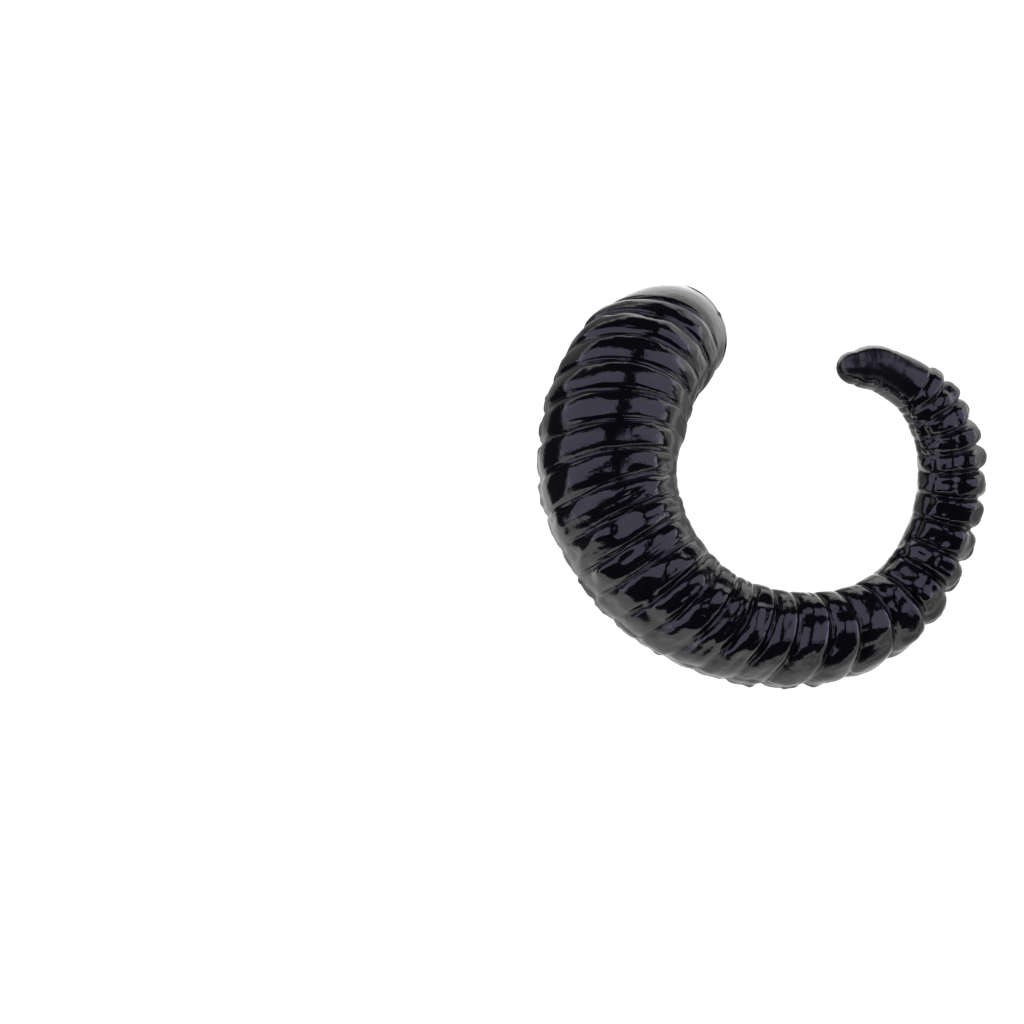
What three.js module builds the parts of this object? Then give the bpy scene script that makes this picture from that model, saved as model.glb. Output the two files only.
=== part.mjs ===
// One hollow, ribbed ram horn of a costume headpiece: an open collar, a curl of thirty ribs
// and a smooth solid tip. Millimetres, +Z up, lying on its collar edge and its lower ribs.
import * as THREE from 'three';

// Driving dimensions
const curlWidth = 131;      // across the curl, measured on the centreline
const curlDepth = 133;      // on the centreline, from the lowest bend to just past the mouth
const tipLift = 60;         // height of the tip's centre above the surface it lies on
const bodyRadius = 27.4;    // half-thickness of the thickest ribs
const wall = 2.4;           // moulded wall, measured at a crease
const ribDepth = 2.8;       // crest to crease on the deepest ribs
const lipRound = 0.7;       // rounding of the collar's cut edge

// Fineness of the moulded surface
const sidesOutside = 28;
const sidesInside = 14;
const rowsInTip = 9;
const rowsInHollow = 40;
const lengthSteps = 200;
const slopeStep = 0.002;    // share of the way along, for directions and for the hollow's first row

// The horn from its collar mouth to its tip. Columns: at, share of the way along; across, share of
// curlWidth; along, share of curlDepth; lift, share of tipLift; girth, share of bodyRadius; lead and
// rise, how far a rib's outer side and its top lean towards the tip, as shares of the half-thickness;
// ribs, share of ribDepth.
const stations = [
  { at: 0.00, across: 0.240, along: 0.986, lift: 0.272, girth: 0.740, lead: 0.00, rise: 0.00, ribs: 0.00 },
  { at: 0.05, across: 0.166, along: 0.906, lift: 0.440, girth: 0.880, lead: 0.32, rise: -0.06, ribs: 0.20 },
  { at: 0.10, across: 0.098, along: 0.822, lift: 0.520, girth: 0.965, lead: 0.31, rise: -0.02, ribs: 0.50 },
  { at: 0.15, across: 0.045, along: 0.720, lift: 0.550, girth: 1.000, lead: 0.24, rise: 0.01, ribs: 0.52 },
  { at: 0.20, across: 0.010, along: 0.598, lift: 0.541, girth: 1.000, lead: 0.18, rise: 0.01, ribs: 0.52 },
  { at: 0.25, across: 0.000, along: 0.467, lift: 0.498, girth: 0.974, lead: 0.15, rise: 0.02, ribs: 0.52 },
  { at: 0.30, across: 0.030, along: 0.337, lift: 0.445, girth: 0.924, lead: 0.06, rise: 0.06, ribs: 0.52 },
  { at: 0.35, across: 0.097, along: 0.218, lift: 0.402, girth: 0.862, lead: -0.06, rise: 0.14, ribs: 0.54 },
  { at: 0.40, across: 0.192, along: 0.114, lift: 0.376, girth: 0.790, lead: -0.14, rise: 0.23, ribs: 0.56 },
  { at: 0.45, across: 0.308, along: 0.041, lift: 0.360, girth: 0.724, lead: -0.18, rise: 0.30, ribs: 0.60 },
  { at: 0.50, across: 0.437, along: 0.004, lift: 0.343, girth: 0.682, lead: -0.16, rise: 0.33, ribs: 0.65 },
  { at: 0.55, across: 0.569, along: 0.000, lift: 0.320, girth: 0.643, lead: -0.10, rise: 0.33, ribs: 0.70 },
  { at: 0.60, across: 0.702, along: 0.029, lift: 0.288, girth: 0.594, lead: -0.03, rise: 0.30, ribs: 0.75 },
  { at: 0.65, across: 0.824, along: 0.098, lift: 0.284, girth: 0.536, lead: 0.01, rise: 0.23, ribs: 0.80 },
  { at: 0.70, across: 0.916, along: 0.198, lift: 0.345, girth: 0.482, lead: 0.01, rise: 0.12, ribs: 0.95 },
  { at: 0.75, across: 0.976, along: 0.315, lift: 0.450, girth: 0.456, lead: 0.00, rise: 0.01, ribs: 1.00 },
  { at: 0.80, across: 1.000, along: 0.441, lift: 0.577, girth: 0.450, lead: 0.00, rise: -0.07, ribs: 1.00 },
  { at: 0.85, across: 0.981, along: 0.562, lift: 0.711, girth: 0.428, lead: 0.00, rise: -0.11, ribs: 0.90 },
  { at: 0.90, across: 0.913, along: 0.662, lift: 0.838, girth: 0.386, lead: 0.00, rise: -0.11, ribs: 0.55 },
  { at: 0.95, across: 0.794, along: 0.717, lift: 0.938, girth: 0.315, lead: 0.00, rise: 0.00, ribs: 0.00 },
  { at: 0.98, across: 0.717, along: 0.717, lift: 0.980, girth: 0.262, lead: 0.00, rise: 0.00, ribs: 0.00 },
  { at: 1.00, across: 0.660, along: 0.708, lift: 1.005, girth: 0.050, lead: 0.00, rise: 0.00, ribs: 0.00 },
];

// Where the middle of each crease between two ribs lies, as shares of the way along
const creases = [
  0.058, 0.083, 0.114, 0.145, 0.176, 0.207, 0.236, 0.268, 0.300, 0.330, 0.357, 0.385, 0.409, 0.437,
  0.462, 0.489, 0.518, 0.553, 0.586, 0.624, 0.661, 0.696, 0.726, 0.757, 0.786, 0.812, 0.834, 0.857,
  0.878, 0.897, 0.913,
];
const lastCrease = creases[creases.length - 1];

// Rows of the plain collar between its rounded edge and the first crease, as shares of the way along
const collarRows = [0.015, 0.03, 0.045];

// One rib from crease to crease. Columns: at, share of the rib's width; out, share of ribDepth
const ribProfile = [
  { at: 0.00, out: -0.62 },
  { at: 0.20, out: 0.10 },
  { at: 0.50, out: 0.40 },
  { at: 0.80, out: 0.10 },
];
const creaseOut = ribProfile[0].out;

// How much of a rib's depth is left on the side that faces into the curl
const ribsInsideCurl = 0.2;

// Where the hollow ends and over how long a stretch its end rounds off, as shares of the way along
const hollow = { ends: 0.865, rounds: 0.03 };

// A column of the station table at any share of the way along, on smooth cubics through its rows
function read(column, at) {
  const last = stations.length - 1;
  let i = 0;
  while (i < last - 1 && stations[i + 1].at < at) i += 1;
  const slope = (k) => {
    const before = stations[Math.max(k - 1, 0)];
    const after = stations[Math.min(k + 1, last)];
    return (after[column] - before[column]) / (after.at - before.at);
  };
  const from = stations[i];
  const to = stations[i + 1];
  const width = to.at - from.at;
  const t = (at - from.at) / width;
  const t2 = t * t;
  const t3 = t2 * t;
  return (2 * t3 - 3 * t2 + 1) * from[column] + (t3 - 2 * t2 + t) * width * slope(i)
    + (3 * t2 - 2 * t3) * to[column] + (t3 - t2) * width * slope(i + 1);
}

// The centreline
function centre(at) {
  return new THREE.Vector3(
    curlWidth * read('across', at),
    curlDepth * read('along', at),
    tipLift * read('lift', at),
  );
}

// Length of the centreline, which turns a lean in millimetres into a share of the way along
function measureLength() {
  let length = 0;
  for (let i = 0; i < lengthSteps; i += 1) {
    length += centre(i / lengthSteps).distanceTo(centre((i + 1) / lengthSteps));
  }
  return length;
}
const hornLength = measureLength();

// Directions square to the centreline: outward from the curl, and up over the back of the horn
function frameAt(at) {
  const ahead = centre(Math.min(at + slopeStep, 1));
  const behind = centre(Math.max(at - slopeStep, 0));
  const forward = ahead.sub(behind).normalize();
  const outward = new THREE.Vector3().crossVectors(forward, new THREE.Vector3(0, 0, 1)).normalize();
  const upward = new THREE.Vector3().crossVectors(outward, forward);
  return { outward, upward };
}

// A point of a leaning ring, at an angle from the outer side of the curl, moved out by a distance
function ringPoint(at, angle, out) {
  const radius = bodyRadius * read('girth', at);
  const lean = read('lead', at) * Math.cos(angle) + read('rise', at) * Math.sin(angle);
  const there = THREE.MathUtils.clamp(at + lean * radius / hornLength, 0, 1);
  const { outward, upward } = frameAt(there);
  const reach = Math.max(bodyRadius * read('girth', there) + out, 0);
  return centre(there)
    .addScaledVector(outward, reach * Math.cos(angle))
    .addScaledVector(upward, reach * Math.sin(angle));
}

// Points evenly round the horn
function ring(sides, pointAt) {
  return Array.from({ length: sides }, (_, i) => pointAt(2 * Math.PI * i / sides));
}

// How far a rib stands out of the mean surface, fading on the side that faces into the curl
function ribOut(at, out, angle) {
  const fade = THREE.MathUtils.lerp(ribsInsideCurl, 1, (1 + Math.cos(angle)) / 2);
  return ribDepth * read('ribs', at) * out * fade;
}

// Rings of the inside, from the closed end of the hollow to the mouth
function insideRings() {
  const rings = [[centre(hollow.ends)]];
  for (let i = 0; i <= rowsInHollow; i += 1) {
    const at = (hollow.ends - slopeStep) * (1 - i / rowsInHollow);
    const closing = Math.min((hollow.ends - at) / hollow.rounds, 1);
    const round = Math.sqrt(1 - (1 - closing) ** 2);
    const outside = bodyRadius * read('girth', at);
    const inside = (outside - wall + ribDepth * read('ribs', at) * creaseOut) * round;
    rings.push(ring(sidesInside, (angle) => ringPoint(at, angle, inside - outside)));
  }
  return rings;
}

// Rows of the outside from the mouth to the tip: a place along it and how far its rib stands out
function outsideRows() {
  const rows = [{ at: lipRound / hornLength, out: 0 }];
  for (const at of collarRows) rows.push({ at, out: 0 });
  for (let i = 0; i + 1 < creases.length; i += 1) {
    const width = creases[i + 1] - creases[i];
    for (const step of ribProfile) rows.push({ at: creases[i] + width * step.at, out: step.out });
  }
  rows.push({ at: lastCrease, out: creaseOut });
  for (let i = 1; i < rowsInTip; i += 1) {
    rows.push({ at: THREE.MathUtils.lerp(lastCrease, 1, i / rowsInTip), out: 0 });
  }
  return rows;
}

// Triangles between two rings that may have different numbers of points
function bridge(faces, startA, countA, startB, countB) {
  let a = 0;
  let b = 0;
  while (a < countA || b < countB) {
    const pointA = startA + a % countA;
    const pointB = startB + b % countB;
    const nextA = (a + 1) / countA;
    const nextB = (b + 1) / countB;
    if (countA > 1 && a < countA && (nextA <= nextB || b >= countB)) {
      faces.push(pointA, pointB, startA + (a + 1) % countA);
      a += 1;
    } else if (countB > 1 && b < countB) {
      faces.push(pointA, pointB, startB + (b + 1) % countB);
      b += 1;
    } else break;
  }
}

// One closed body from rings that follow each other, the first and the last a single point
function skin(rings) {
  const positions = [];
  const faces = [];
  let start = 0;
  rings.forEach((points, k) => {
    for (const p of points) positions.push(p.x, p.y, p.z);
    const next = start + points.length;
    if (k + 1 < rings.length) bridge(faces, start, points.length, next, rings[k + 1].length);
    start = next;
  });
  const geometry = new THREE.BufferGeometry();
  geometry.setAttribute('position', new THREE.Float32BufferAttribute(positions, 3));
  geometry.setIndex(faces);
  geometry.computeVertexNormals();
  return geometry;
}

// The horn: up the inside to the mouth, over the lip and along the outside to the tip
function makeHorn() {
  const rings = insideRings();
  rings.push(ring(sidesOutside, (angle) => ringPoint(0, angle, -lipRound)));
  for (const row of outsideRows()) {
    rings.push(ring(sidesOutside, (angle) => ringPoint(row.at, angle, ribOut(row.at, row.out, angle))));
  }
  rings.push([centre(1)]);
  return skin(rings);
}

// The horn is one glossy black moulding
const latex = new THREE.MeshStandardMaterial({ color: 0x0c0b0d, roughness: 0.22, metalness: 0 });
const horn = new THREE.Mesh(makeHorn(), latex);
horn.name = 'horn_shell';

// The surface under the horn touches its lowest points, and the horn is centred on it
horn.geometry.computeBoundingBox();
const box = horn.geometry.boundingBox;
horn.position.set(-(box.min.x + box.max.x) / 2, -(box.min.y + box.max.y) / 2, -box.min.z);

const part = new THREE.Group();
part.add(horn);

export default part;
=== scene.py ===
import math
from types import SimpleNamespace

import bpy
import numpy as np
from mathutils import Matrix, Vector


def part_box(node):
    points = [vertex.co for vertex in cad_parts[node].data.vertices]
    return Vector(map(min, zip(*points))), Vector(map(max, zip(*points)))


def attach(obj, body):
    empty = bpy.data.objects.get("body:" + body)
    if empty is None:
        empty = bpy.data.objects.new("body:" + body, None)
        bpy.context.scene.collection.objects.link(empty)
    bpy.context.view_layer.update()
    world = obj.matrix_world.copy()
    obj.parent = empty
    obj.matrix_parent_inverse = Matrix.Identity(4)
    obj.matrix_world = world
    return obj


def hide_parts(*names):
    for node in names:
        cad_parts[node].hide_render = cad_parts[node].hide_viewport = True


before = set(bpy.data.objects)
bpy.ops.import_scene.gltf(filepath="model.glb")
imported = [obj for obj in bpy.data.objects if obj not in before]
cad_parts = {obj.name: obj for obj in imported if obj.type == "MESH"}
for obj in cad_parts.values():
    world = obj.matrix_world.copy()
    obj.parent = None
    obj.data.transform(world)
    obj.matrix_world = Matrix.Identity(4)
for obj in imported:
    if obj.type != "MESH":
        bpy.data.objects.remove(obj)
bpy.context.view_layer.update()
scene = bpy.context.scene

# ---- The horn's form
# The horn is one hollow moulding that curls in an open ring from a plain round collar to a smooth
# tip. It was cast in a two-part mould, so its form is a run of leaning rings along one curved line.
CURL_WIDTH = 0.131
CURL_DEPTH = 0.133
TIP_LIFT = 0.060
BODY_RADIUS = 0.0274
WALL = 0.0024
RIB_DEPTH = 0.0028
LIP_ROUND = 0.0007
HORN_LENGTH = 0.3560
COLUMNS = ("at", "across", "along", "lift", "girth", "lead", "rise", "ribs")
STATIONS = np.array([
    (0.00, 0.240, 0.986, 0.272, 0.740, 0.00, 0.00, 0.00),
    (0.05, 0.166, 0.906, 0.440, 0.880, 0.32, -0.06, 0.20),
    (0.10, 0.098, 0.822, 0.520, 0.965, 0.31, -0.02, 0.50),
    (0.15, 0.045, 0.720, 0.550, 1.000, 0.24, 0.01, 0.52),
    (0.20, 0.010, 0.598, 0.541, 1.000, 0.18, 0.01, 0.52),
    (0.25, 0.000, 0.467, 0.498, 0.974, 0.15, 0.02, 0.52),
    (0.30, 0.030, 0.337, 0.445, 0.924, 0.06, 0.06, 0.52),
    (0.35, 0.097, 0.218, 0.402, 0.862, -0.06, 0.14, 0.54),
    (0.40, 0.192, 0.114, 0.376, 0.790, -0.14, 0.23, 0.56),
    (0.45, 0.308, 0.041, 0.360, 0.724, -0.18, 0.30, 0.60),
    (0.50, 0.437, 0.004, 0.343, 0.682, -0.16, 0.33, 0.65),
    (0.55, 0.569, 0.000, 0.320, 0.643, -0.10, 0.33, 0.70),
    (0.60, 0.702, 0.029, 0.288, 0.594, -0.03, 0.30, 0.75),
    (0.65, 0.824, 0.098, 0.284, 0.536, 0.01, 0.23, 0.80),
    (0.70, 0.916, 0.198, 0.345, 0.482, 0.01, 0.12, 0.95),
    (0.75, 0.976, 0.315, 0.450, 0.456, 0.00, 0.01, 1.00),
    (0.80, 1.000, 0.441, 0.577, 0.450, 0.00, -0.07, 1.00),
    (0.85, 0.981, 0.562, 0.711, 0.428, 0.00, -0.11, 0.90),
    (0.90, 0.913, 0.662, 0.838, 0.386, 0.00, -0.11, 0.55),
    (0.95, 0.794, 0.717, 0.938, 0.315, 0.00, 0.00, 0.00),
    (0.98, 0.717, 0.717, 0.980, 0.262, 0.00, 0.00, 0.00),
    (1.00, 0.660, 0.708, 1.005, 0.050, 0.00, 0.00, 0.00),
])
CREASES = np.array([
    0.058, 0.083, 0.114, 0.145, 0.176, 0.207, 0.236, 0.268, 0.300, 0.330, 0.357, 0.385, 0.409, 0.437,
    0.462, 0.489, 0.518, 0.553, 0.586, 0.624, 0.661, 0.696, 0.726, 0.757, 0.786, 0.812, 0.834, 0.857,
    0.878, 0.897, 0.913,
])


def read(column, at):
    """A column of the station table on smooth cubics through its rows."""
    value = STATIONS[:, COLUMNS.index(column)]
    place = STATIONS[:, 0]
    last = len(place) - 1
    i = np.clip(np.searchsorted(place, at, side="left") - 1, 0, last - 1)
    before, after = np.maximum(np.arange(last + 1) - 1, 0), np.minimum(np.arange(last + 1) + 1, last)
    slope = (value[after] - value[before]) / (place[after] - place[before])
    width = place[i + 1] - place[i]
    t = (at - place[i]) / width
    return ((2 * t**3 - 3 * t**2 + 1) * value[i] + (t**3 - 2 * t**2 + t) * width * slope[i]
            + (3 * t**2 - 2 * t**3) * value[i + 1] + (t**3 - t**2) * width * slope[i + 1])


def centre(at):
    """The horn's centreline."""
    return np.stack([CURL_WIDTH * read("across", at), CURL_DEPTH * read("along", at),
                     TIP_LIFT * read("lift", at)], axis=-1)


def ring_points(at, angle, out):
    """Points of leaning rings at an angle from the curl's outer side, moved out by a distance."""
    radius = BODY_RADIUS * read("girth", at)
    lean = read("lead", at) * np.cos(angle) + read("rise", at) * np.sin(angle)
    there = np.clip(at + lean * radius / HORN_LENGTH, 0, 1)
    step = 0.002
    forward = centre(np.minimum(there + step, 1)) - centre(np.maximum(there - step, 0))
    forward /= np.linalg.norm(forward, axis=-1, keepdims=True)
    outward = np.cross(forward, (0.0, 0.0, 1.0))
    outward /= np.linalg.norm(outward, axis=-1, keepdims=True)
    upward = np.cross(outward, forward)
    reach = np.maximum(BODY_RADIUS * read("girth", there) + out, 0)[..., None]
    angle = angle[..., None]
    return centre(there) + reach * (outward * np.cos(angle) + upward * np.sin(angle))


# ---- The relief of the ribs
# Each rib is a rounded pillow between two creases. The mould's lining has left a thin bead along most
# creases, shallow folds along the ribs, knobs on the thin half of the horn and torn bits of flash.
MM = 0.001
SIDES = 132
MORE_SIDES_ON_TOP = 0.25
ROWS_IN_COLLAR = 22
ROWS_IN_RIB = 20
ROWS_CROWD_AT_CREASES = 0.72
ROWS_IN_TIP = 64
ROWS_CROWD_AT_TIP = 1.15
LATTICE_SIDE = 24
LATTICE_START = 500.0
rng = np.random.default_rng(11)
lattice = rng.random((LATTICE_SIDE, LATTICE_SIDE, LATTICE_SIDE))


def lumps(x, y, layer):
    """Smooth random lumps of unit size, from -1 to 1. Each use takes a layer of its own."""
    cell = np.stack(np.broadcast_arrays(x, y, layer), axis=-1) + LATTICE_START
    low = np.floor(cell).astype(int)
    t = cell - low
    t = t * t * (3 - 2 * t)
    total = 0.0
    for corner in np.ndindex(2, 2, 2):
        i, j, k = ((low + corner) % LATTICE_SIDE).transpose(*range(-1, low.ndim - 1))
        share = np.prod(np.where(corner, t, 1 - t), axis=-1)
        total = total + share * lattice[i, j, k]
    return 2 * total - 1


def hump(x, middle, width):
    """A smooth hump of height 1 about a place."""
    return np.exp(-((x - middle) / width) ** 2)


def ramp(x, low, high):
    """0 below one place and 1 above the other, smooth between."""
    t = np.clip((x - low) / (high - low), 0, 1)
    return t * t * (3 - 2 * t)


def span(x, low, high, soft):
    """1 between two places and 0 outside them, smooth at both."""
    return ramp(x, low - soft, low + soft) * (1 - ramp(x, high - soft, high + soft))


def row_places():
    """Places of the outer rows, closest together at the creases."""
    places = [np.linspace(LIP_ROUND / HORN_LENGTH, CREASES[0], ROWS_IN_COLLAR, endpoint=False)]
    t = np.arange(ROWS_IN_RIB) / ROWS_IN_RIB
    t = t - ROWS_CROWD_AT_CREASES * np.sin(2 * np.pi * t) / (2 * np.pi)
    for start, end in zip(CREASES, CREASES[1:]):
        places.append(start + (end - start) * t)
    tip = np.linspace(0, 1, ROWS_IN_TIP, endpoint=False)
    places.append(CREASES[-1] + (1 - CREASES[-1]) * (1 - (1 - tip) ** ROWS_CROWD_AT_TIP))
    return np.concatenate(places)


# from here on lengths and heights are in mm, and degrees run from the curl's outer side over the top
THICK_HALF_ENDS = (190, 245)
KNOBBLY_PART = (232, 316, 12)
SEAM_ALONG, SEAM_ROUND = (84, 180, 14), (-75, 22, 12)
CROWN_PLACE, CROWN_WANDERS = 0.5, 0.06
CREASES_END_INSIDE, CREASES_BEGIN_OUTSIDE, CREASES_SOFT = 138, 322, 14


def place_on_horn(at, angle):
    """Where points of the skin lie: along the horn, round it and within their rib."""
    here = SimpleNamespace(at=at, angle=angle, length=at * HORN_LENGTH / MM)
    here.degrees = np.degrees(angle) % 360
    here.from_outside = (here.degrees + 180) % 360 - 180
    here.rib = np.clip(np.searchsorted(CREASES, at, side="right") - 1, 0, len(CREASES) - 2)
    start, end = CREASES[here.rib], CREASES[here.rib + 1]
    here.pitch = (end - start) * HORN_LENGTH / MM
    here.t = np.clip((at - start) / (end - start), 0, 1)
    here.edge = np.minimum(here.t, 1 - here.t) * here.pitch
    here.ribbed = ((at >= CREASES[0]) & (at <= CREASES[-1])) * 1.0
    here.thick = 1 - ramp(here.length, *THICK_HALF_ENDS)
    here.on_top = ramp(np.sin(angle), 0.2, 0.8)
    here.knobbly = span(here.length, *KNOBBLY_PART)
    here.seam_side = span(here.length, *SEAM_ALONG) * span(here.from_outside, *SEAM_ROUND)
    crown = CROWN_PLACE + CROWN_WANDERS * rib_lumps(here, 1.7, 50, 3.0)
    here.across_rib = np.where(here.t < crown, (crown - here.t) / crown, (here.t - crown) / (1 - crown))
    creases_end = CREASES_END_INSIDE + 16 * here.thick - 26 * here.knobbly
    inside = span(here.degrees, creases_end, CREASES_BEGIN_OUTSIDE, CREASES_SOFT)
    here.carried_round = 1 - 0.75 * inside - 0.7 * here.seam_side
    here.calm = 1 - 0.75 * span(here.degrees, 116, 250, 14) * ramp(here.length, 105, 145)
    here.past_collar = ramp(here.length, 16, 30)
    here.before_tip = 1 - 0.8 * ramp(here.length, 300, 318)
    return here


def skin_lumps(here, long, wide, layer):
    """Lumps of a length in mm along the horn and a width in degrees round it."""
    return lumps(here.length / long, here.degrees / wide, layer)


def rib_lumps(here, change, wide, layer):
    """Lumps that change from one rib to the next and are some degrees wide."""
    return lumps(here.rib * change, here.degrees / wide, layer)


CREASE_OUT = -0.62
CROWN_OUT = 0.40
RIBS_INSIDE_CURL = 0.2
THICK_RIBS_DEEPER = 0.50
PILLOW_POWER, THICK_PILLOWS_ROUNDER = 3.2, 0.9


def pillows(here):
    """The ribs' rounded forms, lower inside the curl and along the outer parting line."""
    depth = RIB_DEPTH * read("ribs", here.at) / MM * (1 + THICK_RIBS_DEEPER * here.thick * here.on_top)
    fade = RIBS_INSIDE_CURL + (1 - RIBS_INSIDE_CURL) * (1 + np.cos(here.angle)) / 2
    fade = (fade + (1 - fade) * 0.4 * here.on_top) * (1 - 0.7 * here.seam_side)
    fade *= 1 - 0.55 * here.knobbly * span(here.degrees, 112, 250, 18)
    power = PILLOW_POWER - THICK_PILLOWS_ROUNDER * here.thick
    form = CREASE_OUT + (CROWN_OUT - CREASE_OUT) * (1 - here.across_rib ** power)
    return depth * fade * form * here.ribbed


GROOVE_DEPTH, GROOVE_WIDTH = 0.55, 1.05
BEAD_HEIGHT, BEAD_UNEVEN, BEAD_WIDTH = 0.50, 0.16, 0.32
SECOND_LINE_HEIGHT, SECOND_LINE_BACK, SECOND_LINE_WIDTH = 0.26, 1.6, 0.34
LOW_FINS_ALONG, HIGH_FINS_ALONG = (93, 121, 3), (162, 236, 4)


def grooves_and_beads(here):
    """The sharp groove along a crease and the thin bead in it, which stands up as fins in places."""
    deep = (0.55 + 0.45 * ramp(here.length, 20, 60)) * here.carried_round
    out = -GROOVE_DEPTH * deep * hump(here.edge, 0, GROOVE_WIDTH)
    second = SECOND_LINE_HEIGHT * span(here.length, 24, 135, 6) * here.carried_round
    out += second * hump((1 - here.t) * here.pitch, SECOND_LINE_BACK, SECOND_LINE_WIDTH)
    bead = BEAD_HEIGHT + BEAD_UNEVEN * rib_lumps(here, 2.3, 22, 5.0)
    low_fins = span(here.length, *LOW_FINS_ALONG) * hump(here.degrees, 38, 9)
    fins = low_fins * (0.5 + 0.4 * skin_lumps(here, 1, 3, 6.0))
    fins += 0.45 * span(here.length, *HIGH_FINS_ALONG) * hump(here.degrees, 132, 13)
    out += (bead * here.carried_round + fins) * hump(here.edge, 0, BEAD_WIDTH)
    return out * here.ribbed


FOLD_DEPTH, FOLD_WIDTH = 0.32, 0.9
BROKEN_PART = (92, 176, 10)
BROKEN_HEIGHT, BROKEN_SLACK = 0.80, 0.35
CRATER_ALONG, CRATER_DEGREES, CRATER_MM_IN_DEGREE = 151, 74, 0.33


def folds(here):
    """Shallow folds along the ribs, broken up where the horn bends lowest, and one small crater."""
    strong = 0.35 + 1.25 * ramp(here.length, 84, 104) * (1 - 0.7 * ramp(here.length, 180, 240))
    place = 0.60 + 0.16 * rib_lumps(here, 3.1, 60, 8.0)
    strong = strong * ramp(rib_lumps(here, 1.9, 36, 11.0), -0.5, 0.1) * here.carried_round * here.ribbed
    out = -FOLD_DEPTH * strong * hump((here.t - place) * here.pitch, 0, FOLD_WIDTH)
    broken = span(here.length, *BROKEN_PART) * np.maximum(here.carried_round, 0) * here.calm
    slanting = lumps(here.length / 3.4 + here.degrees / 50, here.degrees / 19, 14.0)
    out += BROKEN_HEIGHT * broken * slanting * ramp(here.edge, 0, 1.5)
    out += BROKEN_SLACK * broken * skin_lumps(here, 5.5, 13, 16.0)
    crater = np.hypot(here.length - CRATER_ALONG, (here.degrees - CRATER_DEGREES) * CRATER_MM_IN_DEGREE)
    return out + 0.22 * hump(crater, 1.5, 0.6) - 0.30 * hump(crater, 0, 0.9)


KNOB_HEIGHT, KNOB_UNEVEN, POINT_HEIGHT = 0.60, 0.75, 1.0
KNOBS_SLIDE = 8


def knobs(here):
    """Two rows of knobs along the thin half, and the points that stand out of its outer side."""
    slide = KNOBS_SLIDE * lumps(here.rib * 2.7, 0.0, 17.0)
    outer_row = hump(here.degrees, 46 + slide, 22) - 0.9 * hump(here.degrees, 78 + slide, 8)
    second_row = 0.7 * hump(here.degrees, 108 - slide, 16) - 0.9 * hump(here.degrees, 136 - slide, 8)
    out = KNOB_HEIGHT * here.knobbly * (outer_row + second_row) * ramp(here.edge, 0.1, 2.4)
    upper_side = ramp(np.sin(here.angle), -0.2, 0.4)
    out += KNOB_UNEVEN * here.knobbly * skin_lumps(here, 3.8, 26, 19.0) * upper_side
    pointed = ramp(here.length, 205, 235) * (1 - ramp(here.length, 300, 320)) * here.ribbed
    pointed = pointed * (1 + 0.8 * lumps(here.rib * 1.3, 0.0, 18.0)) * (1 - here.across_rib)
    return out + POINT_HEIGHT * pointed * hump(here.from_outside, 14 + slide, 16)


SLACK, RIB_SLACK, TOP_SLACK, COLLAR_SLACK = 0.45, 0.70, 0.22, 0.30
RAGGED, FINE_RAGGED = 0.12, 0.065


def slack_and_ragged(here):
    """Slack lumps all over, and the ragged small ones that break up the reflections."""
    out = SLACK * skin_lumps(here, 9, 30, 20.0) * here.past_collar * here.calm
    on_rib = np.maximum(1 - here.across_rib**4, 0) * here.ribbed * here.calm
    out += RIB_SLACK * rib_lumps(here, 2.1, 20, 35.0) * on_rib
    on_top = hump(here.degrees, 96, 26) * here.past_collar * here.before_tip
    out += TOP_SLACK * skin_lumps(here, 2.6, 11, 22.0) * on_top
    out += COLLAR_SLACK * skin_lumps(here, 11, 26, 21.0) * (1 - here.past_collar)
    ragged = (1.9 - 1.3 * ramp(here.t, 0.3, 0.55)) * here.past_collar * here.before_tip * here.calm
    out += RAGGED * ragged * skin_lumps(here, 2.8, 11, 23.0)
    return out + FINE_RAGGED * ragged * skin_lumps(here, 1.3, 5, 24.0)


CRINKLE_HEIGHT = 0.10
TIP_ROUND, TIP_HALF = 6.0, 6.6
RIDGE_HEIGHT, TIP_BUMP_HEIGHT = 0.70, 0.9


def tip_end(here):
    """The tip's crinkles across it, its blunt end, its low ridge and the ragged parting edge inside."""
    slanting = lumps(here.length + here.degrees / 70, here.degrees / 34, 26.0)
    out = CRINKLE_HEIGHT * ramp(here.length, 328, 336) * slanting
    end_place = np.clip(1 - (1 - here.at) * HORN_LENGTH / MM / TIP_ROUND, 0, 1)
    blunt = TIP_HALF * np.sqrt(1 - end_place**2) - BODY_RADIUS * read("girth", here.at) / MM
    out += np.maximum(blunt, 0) * (end_place > 0)
    out += RIDGE_HEIGHT * hump(here.degrees, 62, 12) * span(here.length, 333, 352, 5)
    parting = hump(here.degrees, 156, 6) * span(here.length, 298, 352, 8)
    out += parting * (0.6 + skin_lumps(here, 1.1, 5, 29.0))
    bump = np.hypot(here.length - 341, (here.from_outside - 8) * 0.14)
    return out + TIP_BUMP_HEIGHT * hump(bump, 0, 1.7)


NIB_HEIGHT = 0.8


def torn_flash(here):
    """Torn flash along the parting line on the outer side, and a nib left on the collar."""
    parted = -18 * ramp(here.length, 100, 170)
    chips = 0.45 + 0.5 * ramp(lumps(here.length / 2.6, 0.0, 32.0), -0.1, 0.45)
    out = chips * span(here.length, 50, 206, 8) * hump(here.from_outside, parted, 2.2)
    return out + NIB_HEIGHT * hump(here.length, 2.2, 1.0) * hump(here.degrees, 118, 3.5)


def relief(at, angle):
    """How far the outer skin stands out of the plain form, in metres."""
    here = place_on_horn(at, angle)
    forms = (pillows, grooves_and_beads, folds, knobs, slack_and_ragged, tip_end, torn_flash)
    return MM * sum(form(here) for form in forms)


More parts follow.
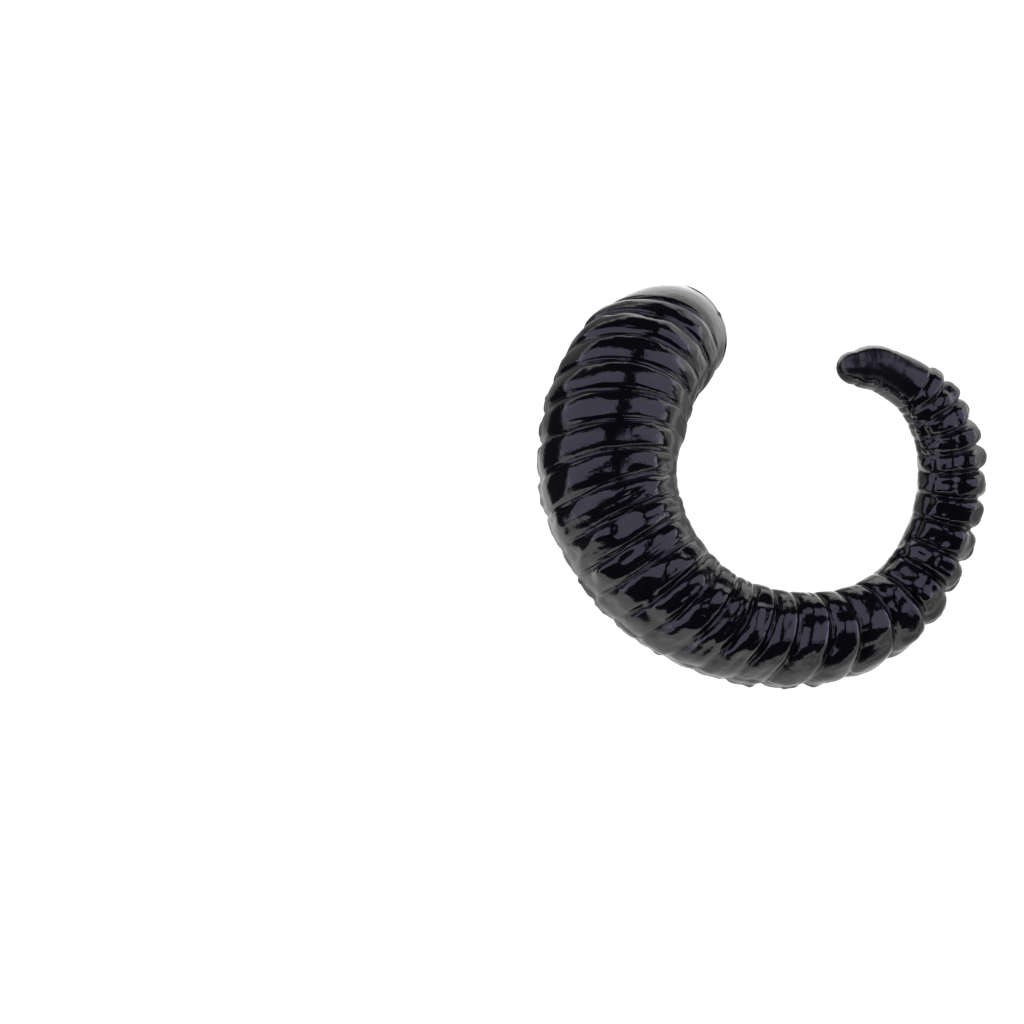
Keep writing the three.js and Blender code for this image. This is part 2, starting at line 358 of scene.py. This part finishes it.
def rubbed(at, angle):
    """Where the gloss is rubbed duller: the tip, and the outer side round the lowest bend."""
    length = at * HORN_LENGTH / MM
    from_outside = (np.degrees(angle) + 180) % 360 - 180
    low_side = span(length, 105, 215, 22) * span(from_outside, -60, 34, 14)
    return np.maximum(ramp(length, 322, 336) * np.ones_like(angle), low_side)


def grid_faces(first, rows, sides):
    """Quads of rows of points that close on themselves."""
    row, side = np.meshgrid(np.arange(rows - 1), np.arange(sides), indexing="ij")
    a = first + row * sides + side
    b = first + row * sides + (side + 1) % sides
    return np.stack([a, b, b + sides, a + sides], axis=-1).reshape(-1, 4)


HOLLOW_ENDS = 0.865
HOLLOW_ROUNDS = 0.03
ROWS_IN_HOLLOW = 40
ROWS_IN_LIP = 4
FIRST_ROW_BACK = 0.002


def make_skin():
    """The closed skin: inside from the end of the hollow, lip, outside, tip, and how rubbed it is."""
    angle = np.linspace(0, 2 * np.pi, SIDES, endpoint=False)[None, :]
    angle = angle + MORE_SIDES_ON_TOP * np.cos(angle)
    inner_at = np.linspace(HOLLOW_ENDS - FIRST_ROW_BACK, 0, ROWS_IN_HOLLOW)[:, None]
    closing = np.minimum((HOLLOW_ENDS - inner_at) / HOLLOW_ROUNDS, 1)
    outside = BODY_RADIUS * read("girth", inner_at)
    inside = outside - WALL + RIB_DEPTH * read("ribs", inner_at) * CREASE_OUT
    inner = ring_points(inner_at + 0 * angle, angle + 0 * inner_at,
                        inside * np.sqrt(1 - (1 - closing) ** 2) - outside + 0 * angle)
    turn = np.linspace(0, np.pi / 2, ROWS_IN_LIP)[:, None]
    lip_at = LIP_ROUND * (1 - np.cos(turn)) / HORN_LENGTH
    lip = ring_points(lip_at + 0 * angle, angle + 0 * turn, LIP_ROUND * (np.sin(turn) - 1) + 0 * angle)
    outer_at = row_places()[:, None]
    outer = ring_points(outer_at + 0 * angle, angle + 0 * outer_at, relief(outer_at, angle))
    rows = np.concatenate([inner, lip, outer], axis=0)
    worn = np.zeros(rows.shape[:2])
    worn[len(inner) + len(lip):] = rubbed(outer_at, angle)
    points = rows.reshape(-1, 3)
    ends = np.stack([centre(np.array(HOLLOW_ENDS)), centre(np.array(1.0))])
    faces = grid_faces(0, len(rows), SIDES)
    around = np.arange(SIDES)
    after = (around + 1) % SIDES
    first, last = len(points), len(points) + 1
    closed_end = np.stack([np.full(SIDES, first), after, around], axis=-1)
    base = (len(rows) - 1) * SIDES
    tip_end = np.stack([np.full(SIDES, last), base + around, base + after], axis=-1)
    points = np.concatenate([points, ends])
    worn = np.append(worn.ravel(), (0.0, 1.0))
    return points, faces.tolist() + closed_end.tolist() + tip_end.tolist(), worn


points, faces, worn = make_skin()
cad_low, cad_high = (np.array(corner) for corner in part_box("horn_shell"))
low, high = points.min(axis=0), points.max(axis=0)
shift = (cad_low + cad_high) / 2 - (low + high) / 2
shift[2] = cad_low[2] - low[2]
points += shift
mesh = bpy.data.meshes.new("horn_skin")
mesh.from_pydata(points.tolist(), [], faces)
mesh.polygons.foreach_set("use_smooth", [True] * len(mesh.polygons))
mesh.attributes.new("worn", "FLOAT", "POINT").data.foreach_set("value", worn)
mesh.update()
horn_skin = bpy.data.objects.new("horn_skin", mesh)
scene.collection.objects.link(horn_skin)
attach(horn_skin, "root")
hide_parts("horn_shell")


# ---- The horn's skin of black latex
# The casting is dyed black right through and dried to a wet-looking gloss. It is slightly duller
# where it was rubbed, has fine crinkles, and shows a few raw reddish flecks where flash tore off.
class Socket:
    """A node's output that takes part in sums."""

    def __init__(self, tree, link):
        self.tree, self.link = tree, link

    @classmethod
    def node(cls, tree, kind, settings, *values, output=0, **named):
        """Adds a node, sets it up, fills its sockets and returns one output."""
        made = tree.nodes.new(kind)
        for name, value in settings.items():
            if name == "stops":
                for stop, (place, colour) in zip(made.color_ramp.elements, value):
                    stop.position, stop.color = place, colour
            else:
                setattr(made, name, value)
        for key, value in list(enumerate(values)) + list(named.items()):
            socket = made.inputs[key.replace("_", " ") if isinstance(key, str) else key]
            if isinstance(value, cls):
                tree.links.new(value.link, socket)
            else:
                socket.default_value = value
        return cls(tree, made.outputs[output])

    def math(self, operation, *values):
        return Socket.node(self.tree, "ShaderNodeMath", {"operation": operation}, *values)

    def __add__(self, other):
        return self.math("ADD", self, other)

    __radd__ = __add__

    def __mul__(self, other):
        return self.math("MULTIPLY", self, other)

    __rmul__ = __mul__

    def __sub__(self, other):
        return self.math("SUBTRACT", self, other)

    def __rsub__(self, other):
        return self.math("SUBTRACT", other, self)

    def feed(self, socket):
        self.tree.links.new(self.link, socket)


BLACK = (0.0055, 0.0050, 0.0060, 1.0)
FLECK = (0.16, 0.035, 0.02, 1.0)
FLECK_STOPS = [(0.80, (0, 0, 0, 1)), (0.84, (1, 1, 1, 1))]
GLOSSIEST, CLOUDY_DULLER, WORN_DULLER = 0.04, 0.10, 0.20


def latex_material():
    """Black latex with a wet gloss, duller where it is worn."""
    material = bpy.data.materials.new("black_latex")
    material.use_nodes = True
    tree = material.node_tree
    shader = tree.nodes["Principled BSDF"]
    place = Socket.node(tree, "ShaderNodeTexCoord", {}, output=3)

    def noise(scale, detail, roughness):
        return Socket.node(tree, "ShaderNodeTexNoise", {}, Vector=place, Scale=scale, Detail=detail,
                           Roughness=roughness)

    cloudy, crinkle, pores = noise(60.0, 3.0, 0.6), noise(420.0, 3.0, 0.55), noise(1600.0, 2.0, 0.5)
    torn = Socket.node(tree, "ShaderNodeValToRGB", {"stops": FLECK_STOPS}, noise(900.0, 1.0, 0.5))
    colour = Socket.node(tree, "ShaderNodeMix", {"data_type": "RGBA"}, torn, output=2)
    mix = colour.link.node
    mix.inputs[6].default_value, mix.inputs[7].default_value = BLACK, FLECK
    colour.feed(shader.inputs["Base Color"])
    worn_there = Socket.node(tree, "ShaderNodeAttribute", {"attribute_name": "worn"}, output=2)
    roughness = GLOSSIEST + CLOUDY_DULLER * cloudy + WORN_DULLER * worn_there
    roughness.feed(shader.inputs["Roughness"])
    bump = Socket.node(tree, "ShaderNodeBump", {}, Strength=0.30, Distance=0.0004,
                       Height=crinkle + 0.25 * pores)
    bump.feed(shader.inputs["Normal"])
    shader.inputs["IOR"].default_value = 1.5
    return material


mesh.materials.append(latex_material())

# ---- The floor, the light and the camera
# The horn lies on bright white paper under two softboxes with a dark gap between them, in white
# surroundings that end just above the floor. Two more sheets show only in the gloss and paint
# reflections: a glowing sheet that sets how bright the paper looks in it, and a bent black card that
# paints a dark reflection.
FLOOR_SIZE = 6.0
FLOOR_BASE, FLOOR_GLOW = 0.3, 1.0


def plain_material(name, base, roughness):
    """A plain grey material and its shader."""
    material = bpy.data.materials.new(name)
    material.use_nodes = True
    shader = material.node_tree.nodes["Principled BSDF"]
    shader.inputs["Base Color"].default_value = (*base, 1)
    shader.inputs["Roughness"].default_value = roughness
    return material, shader


def stage_sheet(name, points, faces, material):
    """A sheet of the studio."""
    sheet_mesh = bpy.data.meshes.new(name)
    sheet_mesh.from_pydata(points, [], faces)
    sheet_mesh.materials.append(material)
    sheet = bpy.data.objects.new(name, sheet_mesh)
    scene.collection.objects.link(sheet)
    return sheet


def only_in_gloss(sheet):
    """Hides a sheet from all but reflections."""
    sheet.visible_camera = sheet.visible_diffuse = sheet.visible_shadow = False


def paper_sheet(name, z, base, strength):
    """A square white sheet with a glow of its own, and its shader."""
    half = FLOOR_SIZE / 2
    paper, shader = plain_material(name, (base, base, base), 0.9)
    shader.inputs["Emission Color"].default_value = (1, 1, 1, 1)
    shader.inputs["Emission Strength"].default_value = strength
    corners = [(-half, -half, z), (half, -half, z), (half, half, z), (-half, half, z)]
    return stage_sheet(name, corners, [(0, 1, 2, 3)], paper), shader


def eased(value, low, high, start, end):
    """A smooth change from one value to another between two places."""
    smooth = {"interpolation_type": "SMOOTHSTEP"}
    return Socket.node(value.tree, "ShaderNodeMapRange", smooth, value, low, high, start, end)


floor, _ = paper_sheet("floor", 0.0, FLOOR_BASE, FLOOR_GLOW)
floor.visible_glossy = False

# a painted reflection: a sheet seen only in the gloss glows dim inside the curl, brighter round it and
# brightest at the collar, while the paper itself is evenly bright
INSIDE_CURL = (-0.015, 0.03, 0.0)
GLOW_INSIDE, GLOW_ROUND_HORN, GLOW_AT_COLLAR = 0.36, 1.45, 0.5
reflection_sheet, painted_glow_shader = paper_sheet("painted_reflection_floor", -0.001, 0.0, 1.0)
only_in_gloss(reflection_sheet)
painted_glow_tree = painted_glow_shader.id_data
on_floor = Socket.node(painted_glow_tree, "ShaderNodeTexCoord", {}, output=3)
to_right = Socket.node(painted_glow_tree, "ShaderNodeSeparateXYZ", {}, on_floor, output=0)
to_back = Socket.node(painted_glow_tree, "ShaderNodeSeparateXYZ", {}, on_floor, output=1)
off_middle = Socket.node(painted_glow_tree, "ShaderNodeVectorMath", {"operation": "DISTANCE"}, on_floor,
                         INSIDE_CURL, output=1)
round_horn = eased(off_middle, 0.035, 0.075, GLOW_INSIDE, GLOW_ROUND_HORN)
far_right = eased(to_right, 0.050, 0.090, 0.0, 0.5)
behind = eased(to_back, 0.060, 0.120, 0.0, GLOW_AT_COLLAR)
near_collar = eased(to_right, -0.085, -0.045, 0.0, 1.0)
far_left = eased(to_back, -0.005, 0.045, 0.0, 0.8) * (1 - near_collar)
glow = round_horn * (1 - far_left) * (1 - far_right) + behind * near_collar
glow.feed(painted_glow_shader.inputs["Emission Color"])

SURROUND_TOP = math.sin(math.radians(8))
SURROUND_SOFT = 0.05
SURROUND_WHITE, OVERHEAD_BLACK = (0.98, 0.97, 1.0, 1), (0.003, 0.003, 0.004, 1)
SURROUND_STRENGTH = 1.6
world = bpy.data.worlds.new("studio")
scene.world = world
world.use_nodes = True
sky = world.node_tree
direction = Socket.node(sky, "ShaderNodeTexCoord", {}, output=0)
climb = Socket.node(sky, "ShaderNodeSeparateXYZ", {}, direction, output=2)
SKY_STOPS = [(SURROUND_TOP - SURROUND_SOFT, SURROUND_WHITE),
             (SURROUND_TOP + SURROUND_SOFT, OVERHEAD_BLACK)]
paleness = Socket.node(sky, "ShaderNodeValToRGB", {"stops": SKY_STOPS}, climb)
paleness.feed(sky.nodes["Background"].inputs["Color"])
sky.nodes["Background"].inputs["Strength"].default_value = SURROUND_STRENGTH

# the black card, bent to a mirrored copy of the horn's own curve and seen only in the gloss, paints a
# dark reflection on the near flank
MIDDLE_OF_PICTURE = -0.0960
CARD_ROWS, CARD_SIDES = 25, 13
CARD_ALONG, CARD_DEGREES = (0.02, 0.42), (-50, 100)
DARK_REFLECTION_BLACK = (0.004, 0.003, 0.003)
card_at, card_angle = np.meshgrid(np.linspace(*CARD_ALONG, CARD_ROWS),
                                  np.radians(np.linspace(*CARD_DEGREES, CARD_SIDES)), indexing="ij")
card_points = ring_points(card_at, card_angle, 0 * card_at) + shift
card_points[..., 0] = 2 * MIDDLE_OF_PICTURE - card_points[..., 0]
row, side = np.meshgrid(np.arange(CARD_ROWS - 1), np.arange(CARD_SIDES - 1), indexing="ij")
corner = (row * CARD_SIDES + side).ravel()
card_faces = np.stack([corner, corner + 1, corner + CARD_SIDES + 1, corner + CARD_SIDES], axis=-1)
dark_reflection_paint, _ = plain_material("dark_reflection_black", DARK_REFLECTION_BLACK, 0.8)
card_points = card_points.reshape(-1, 3).tolist()
only_in_gloss(stage_sheet("dark_reflection_card", card_points, card_faces.tolist(), dark_reflection_paint))

SOFTBOX_COLOUR = (0.75, 0.70, 1.0)
SOFTBOX_RADIANCE = 1.5


def softbox(name, top, foot, low_y, high_y):
    """A leaning softbox between a line overhead and a line at its foot, both given as (x, z)."""
    top, foot = Vector((top[0], 0, top[1])), Vector((foot[0], 0, foot[1]))
    lamp = bpy.data.lights.new(name, "AREA")
    lamp.shape = "RECTANGLE"
    lamp.size, lamp.size_y = (foot - top).length, high_y - low_y
    lamp.energy = SOFTBOX_RADIANCE * math.pi * lamp.size * lamp.size_y
    lamp.color = SOFTBOX_COLOUR
    hung = bpy.data.objects.new(name, lamp)
    hung.location = (top + foot) / 2 + Vector((0, (low_y + high_y) / 2, 0))
    outward = math.atan2(hung.location.x, hung.location.z)
    lean = math.atan2(abs(foot.x - top.x), top.z - foot.z)
    hung.rotation_euler = (0, math.copysign(math.pi / 2 - lean, outward), 0)
    scene.collection.objects.link(hung)


softbox("softbox_left", (0.0, 1.3), (-1.5, 0.0), -0.32, 0.66)
softbox("softbox_right", (0.48, 1.3), (1.5, 0.0), -0.36, 0.82)

CAMERA_TARGET = Vector((MIDDLE_OF_PICTURE, -0.0039, 0.0))
CAMERA_DISTANCE = 0.96
CAMERA_CLIMB = math.radians(68)
CAMERA_ANGLE = math.radians(24)
camera = bpy.data.objects.new("camera", bpy.data.cameras.new("camera"))
camera.data.angle = CAMERA_ANGLE
towards_camera = Vector((0, -math.cos(CAMERA_CLIMB), math.sin(CAMERA_CLIMB)))
camera.location = CAMERA_TARGET + CAMERA_DISTANCE * towards_camera
camera.rotation_euler = (math.pi / 2 - CAMERA_CLIMB, 0, 0)
scene.collection.objects.link(camera)
scene.camera = camera
scene.view_settings.view_transform = "Standard"
